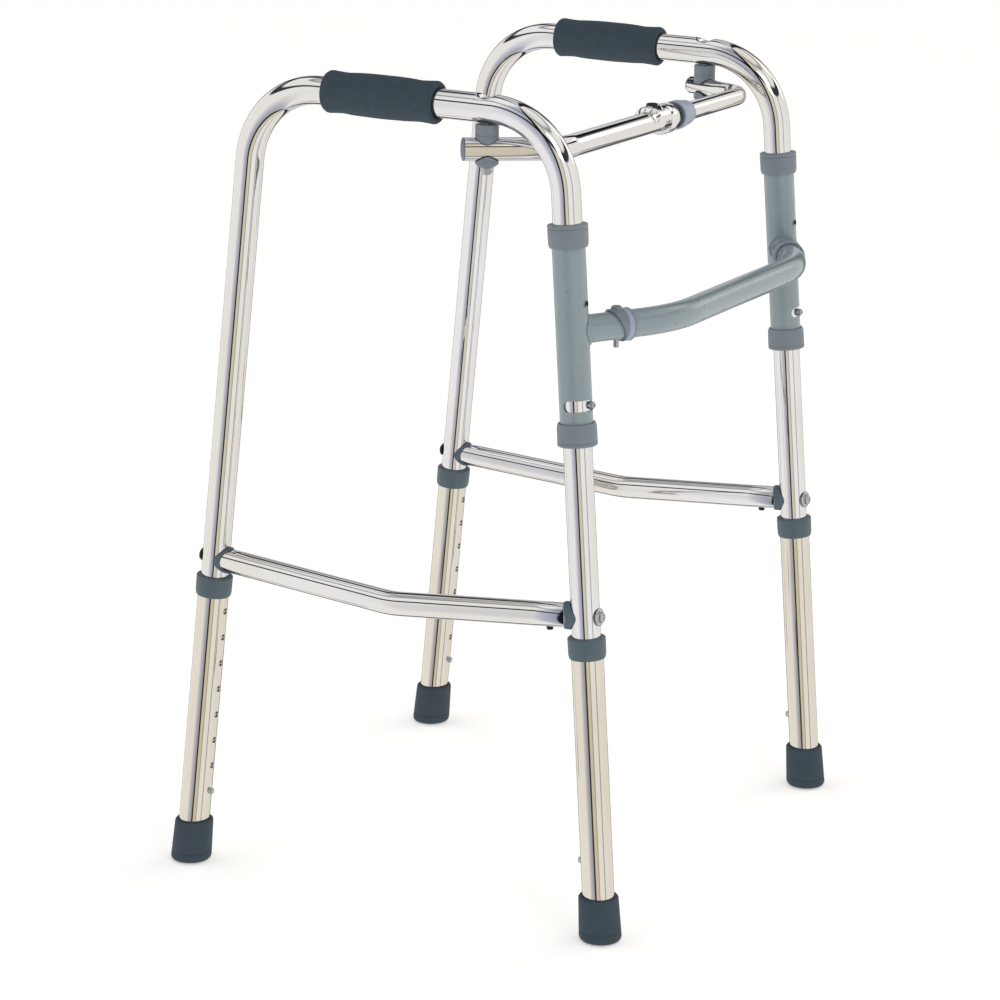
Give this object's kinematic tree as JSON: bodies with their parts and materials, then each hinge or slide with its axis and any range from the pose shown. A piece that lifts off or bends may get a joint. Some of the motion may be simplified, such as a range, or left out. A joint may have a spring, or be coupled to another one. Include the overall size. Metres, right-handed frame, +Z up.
{
  "type": "folding walking frame",
  "caption": "Folding walking frame with tubular side frames, foam hand grips, telescoping legs, swivel sleeves and a two-part upper cross bar.",
  "frame": {"origin": "On the floor, under the middle of the frame's overall box.", "axes": "+Z up, +Y to the open back where the user stands, -Y the closed front, +X to the left frame as seen from the front."},
  "size_m": [0.5082, 0.4772, 0.7534],
  "materials": {
    "polished_tube": "bright_anodised",
    "champagne_tube": "satin_anodised",
    "grey_paint": "gloss",
    "grey_plastic": "satin",
    "lilac_plastic": "satin",
    "slate_plastic": "satin",
    "foot_rubber": "matte",
    "foam": "matte",
    "plated_steel": "zinc_plated",
    "black_steel": "black_oxide"
  },
  "bodies": {
    "front_link": {"left_sleeve": "grey_paint", "right_sleeve": "grey_paint", "left_sleeve_top_collar": "grey_plastic", "right_sleeve_top_collar": "grey_plastic", "left_sleeve_bottom_collar": "grey_plastic", "right_sleeve_bottom_collar": "grey_plastic", "left_stub_ring": "lilac_plastic", "right_stub_ring": "lilac_plastic", "lower_cross_bar": "grey_paint"},
    "left_side_frame": {"left_side_tube": "polished_tube", "left_grip": "foam", "left_side_bar": "polished_tube", "left_side_bar_front_saddle": "slate_plastic", "left_side_bar_rear_saddle": "slate_plastic", "left_front_screw": "plated_steel", "left_rear_bolt": "black_steel", "left_limit_screw": "plated_steel", "left_pivot_bolt": "plated_steel", "left_pivot_nut": "plated_steel"},
    "left_upper_half": {"left_upper_bar": "polished_tube", "left_upper_bar_end_cap": "grey_plastic", "left_pivot_spacer": "grey_plastic", "left_pivot_saddle": "grey_plastic", "plug_bush": "lilac_plastic"},
    "left_front_leg": {"left_front_leg_tube": "champagne_tube", "left_front_leg_collar": "slate_plastic", "left_front_foot": "foot_rubber"},
    "left_front_clip": {"left_front_leg_clip": "plated_steel"},
    "left_rear_leg": {"left_rear_leg_tube": "champagne_tube", "left_rear_leg_collar": "slate_plastic", "left_rear_foot": "foot_rubber"},
    "left_rear_clip": {"left_rear_leg_clip": "plated_steel"},
    "left_bar_pin": {"left_side_bar_snap_pin": "black_steel"},
    "left_stub_pin": {"left_stub_snap_pin": "plated_steel"},
    "right_side_frame": {"right_side_tube": "polished_tube", "right_grip": "foam", "right_side_bar": "polished_tube", "right_side_bar_front_saddle": "slate_plastic", "right_side_bar_rear_saddle": "slate_plastic", "right_front_screw": "plated_steel", "right_rear_bolt": "black_steel", "right_limit_screw": "plated_steel", "right_pivot_bolt": "plated_steel", "right_pivot_nut": "plated_steel"},
    "right_upper_half": {"right_upper_bar": "polished_tube", "right_upper_bar_end_cap": "grey_plastic", "right_pivot_spacer": "grey_plastic", "right_pivot_saddle": "grey_plastic", "latch_housing": "polished_tube"},
    "right_front_leg": {"right_front_leg_tube": "champagne_tube", "right_front_leg_collar": "slate_plastic", "right_front_foot": "foot_rubber"},
    "right_front_clip": {"right_front_leg_clip": "plated_steel"},
    "right_rear_leg": {"right_rear_leg_tube": "champagne_tube", "right_rear_leg_collar": "slate_plastic", "right_rear_foot": "foot_rubber"},
    "right_rear_clip": {"right_rear_leg_clip": "plated_steel"},
    "right_bar_pin": {"right_side_bar_snap_pin": "black_steel"},
    "right_stub_pin": {"right_stub_snap_pin": "plated_steel"},
    "latch_press": {"latch_button": "black_steel"}
  },
  "joints": [
    {"name": "left_frame_fold", "type": "hinge", "parent": "front_link", "child": "left_side_frame", "pos_m": [0.22741, -0.17292, 0.546], "axis": [-0.0139, 0.0684, 0.9976], "range_deg": [-23.5, 81.7]},
    {"name": "left_upper_half_turn", "type": "hinge", "parent": "left_side_frame", "child": "left_upper_half", "pos_m": [0.22485, -0.08843, 0.6953], "axis": [0, 0, -1], "range_deg": [-5.6, 73.6]},
    {"name": "left_front_leg_slide", "type": "slide", "parent": "left_side_frame", "child": "left_front_leg", "axis": [0.0139, -0.0684, -0.9976], "range_m": [0, 0.1778], "deforming": ["left_front_leg_clip"]},
    {"name": "left_front_clip_press", "type": "slide", "parent": "left_side_frame", "child": "left_front_clip", "axis": [-0.001, -0.9977, 0.0684], "range_m": [0, 0.0055], "stiffness_N_per_m": 900},
    {"name": "left_rear_leg_slide", "type": "slide", "parent": "left_side_frame", "child": "left_rear_leg", "axis": [0.0138, 0.1051, -0.9944], "range_m": [0, 0.1778], "deforming": ["left_rear_leg_clip"]},
    {"name": "left_rear_clip_press", "type": "slide", "parent": "left_side_frame", "child": "left_rear_clip", "axis": [-0.0015, 0.9945, 0.1051], "range_m": [0, 0.0055], "stiffness_N_per_m": 900},
    {"name": "left_bar_pin_press", "type": "slide", "parent": "left_side_frame", "child": "left_bar_pin", "axis": [0.0025, 0.0685, 0.9976], "range_m": [0, 0.003], "stiffness_N_per_m": 900},
    {"name": "left_stub_pin_press", "type": "slide", "parent": "front_link", "child": "left_stub_pin", "axis": [0, 0, -1], "range_m": [0, 0.0025], "stiffness_N_per_m": 1500},
    {"name": "right_frame_fold", "type": "hinge", "parent": "front_link", "child": "right_side_frame", "pos_m": [-0.22741, -0.17292, 0.546], "axis": [-0.0139, -0.0684, -0.9976], "range_deg": [-24, 94.8]},
    {"name": "right_upper_half_turn", "type": "hinge", "parent": "right_side_frame", "child": "right_upper_half", "pos_m": [-0.22485, -0.08843, 0.6953], "axis": [0, 0, 1], "range_deg": [-7.5, 75]},
    {"name": "right_front_leg_slide", "type": "slide", "parent": "right_side_frame", "child": "right_front_leg", "axis": [-0.0139, -0.0684, -0.9976], "range_m": [0, 0.1778], "deforming": ["right_front_leg_clip"]},
    {"name": "right_front_clip_press", "type": "slide", "parent": "right_side_frame", "child": "right_front_clip", "axis": [0.001, -0.9977, 0.0684], "range_m": [0, 0.0055], "stiffness_N_per_m": 900},
    {"name": "right_rear_leg_slide", "type": "slide", "parent": "right_side_frame", "child": "right_rear_leg", "axis": [-0.0138, 0.1051, -0.9944], "range_m": [0, 0.1778], "deforming": ["right_rear_leg_clip"]},
    {"name": "right_rear_clip_press", "type": "slide", "parent": "right_side_frame", "child": "right_rear_clip", "axis": [0.0015, 0.9945, 0.1051], "range_m": [0, 0.0055], "stiffness_N_per_m": 900},
    {"name": "right_bar_pin_press", "type": "slide", "parent": "right_side_frame", "child": "right_bar_pin", "axis": [-0.0025, 0.0685, 0.9976], "range_m": [0, 0.003], "stiffness_N_per_m": 900},
    {"name": "right_stub_pin_press", "type": "slide", "parent": "front_link", "child": "right_stub_pin", "axis": [0, 0, -1], "range_m": [0, 0.0025], "stiffness_N_per_m": 1500},
    {"name": "latch_button_press", "type": "slide", "parent": "right_upper_half", "child": "latch_press", "axis": [0, 0, -1], "range_m": [0, 0.0025], "stiffness_N_per_m": 1200}
  ]
}
